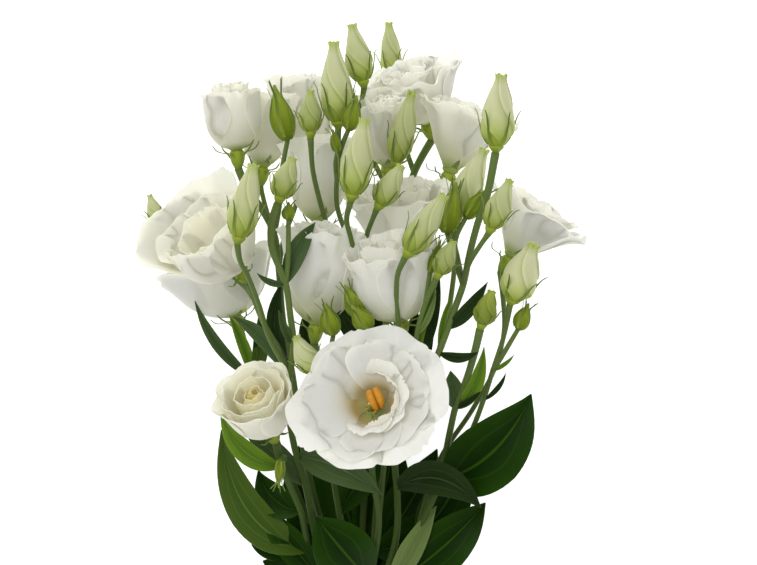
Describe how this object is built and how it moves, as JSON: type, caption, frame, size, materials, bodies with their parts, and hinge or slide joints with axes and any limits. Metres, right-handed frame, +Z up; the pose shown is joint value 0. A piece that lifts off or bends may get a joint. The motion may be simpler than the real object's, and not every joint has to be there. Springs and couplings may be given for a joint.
{
  "type": "bunch of white lisianthus flowers",
  "caption": "Hand-tied bunch of white double lisianthus with open blooms, cream buds and leafy stems, lying on its back and bound with a twine tie above the cut ends.",
  "frame": {"origin": "on the surface that the bunch lies on, under the middle of its box", "axes": "+X to the right as the bunch is looked down on, +Y from the cut ends to the flower heads, +Z up from the surface"},
  "size_m": [0.2249, 0.4043, 0.1435],
  "materials": {
    "petal_white": "soft matte petal, white with a cream throat",
    "pistil_gold": "matte golden anthers and stigma",
    "bud_cream": "matte furled petals, cream-green, lime at the foot",
    "stem_green": "fresh grey-green stems, calyxes and satin leaves",
    "twine": "rough natural twine"
  },
  "bodies": {
    "root": {"bloom_front": "petal_white", "bloom_front_left": "petal_white", "bloom_left": "petal_white", "bloom_lower_left": "petal_white", "bloom_middle_left": "petal_white", "bloom_middle_right": "petal_white", "bloom_centre": "petal_white", "bloom_far_right": "petal_white", "bloom_top_right": "petal_white", "bloom_top": "petal_white", "bloom_top_middle": "petal_white", "bloom_top_left": "petal_white", "bloom_back_left": "petal_white", "bloom_back": "petal_white", "bloom_inner": "petal_white", "pistil_front": "pistil_gold", "bud_top_back": "bud_cream", "bud_top_high": "bud_cream", "bud_top_large": "bud_cream", "bud_top_stalked": "bud_cream", "bud_centre_large": "bud_cream", "bud_centre_high": "bud_cream", "bud_centre_small": "bud_cream", "bud_left_large": "bud_cream", "bud_left_small": "bud_cream", "bud_left_hidden": "bud_cream", "bud_right_tall": "bud_cream", "bud_right_inner": "bud_cream", "bud_right_upper": "bud_cream", "bud_right_front": "bud_cream", "bud_right_cluster": "bud_cream", "bud_right_broad": "bud_cream", "bud_right_low": "bud_cream", "bud_behind_front": "bud_cream", "stem_front": "stem_green", "stem_left": "stem_green", "stem_front_left": "stem_green", "stem_right": "stem_green", "stem_back_left": "stem_green", "stem_middle": "stem_green", "stem_far_right": "stem_green", "stem_lower_left": "stem_green", "stem_top": "stem_green", "stem_centre": "stem_green", "tie": "twine"}
  },
  "joints": []
}
